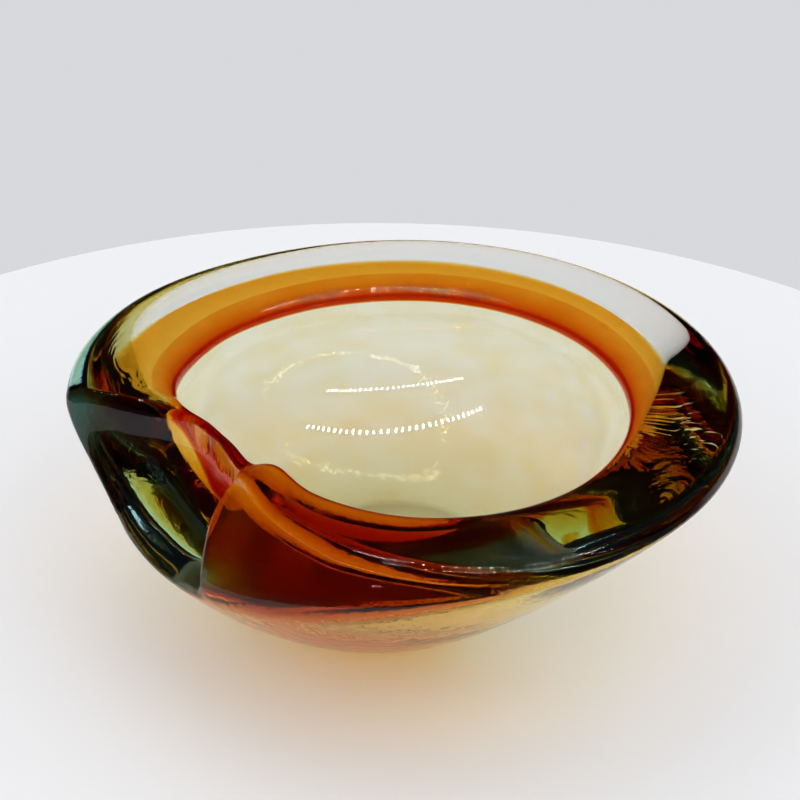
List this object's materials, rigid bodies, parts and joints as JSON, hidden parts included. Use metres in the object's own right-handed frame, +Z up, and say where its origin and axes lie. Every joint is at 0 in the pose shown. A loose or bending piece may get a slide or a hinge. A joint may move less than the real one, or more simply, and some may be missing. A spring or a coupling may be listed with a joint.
{
  "type": "art glass bowl",
  "caption": "Heavy cased glass bowl with a thick rounded rim, pressed and folded on one side, in straw, amber and aqua glass, on a flat ground foot",
  "frame": {"origin": "centre of the flat ground foot, on the plane the bowl rests on", "axes": "+Z up out of the mouth, -Z out of the foot; the fold is at the front left, between -X and -Y, and +X points away from its corner"},
  "size_m": [0.1613, 0.1553, 0.0579],
  "materials": {
    "straw_glass": "fire-polished pale straw glass",
    "amber_glass": "polished amber glass, red where it is deep",
    "aqua_casing_glass": "polished clear glass with a faint blue-green tint"
  },
  "bodies": {
    "root": {"inner_lining": "straw_glass", "amber_layer": "amber_glass", "casing": "aqua_casing_glass"}
  },
  "joints": []
}
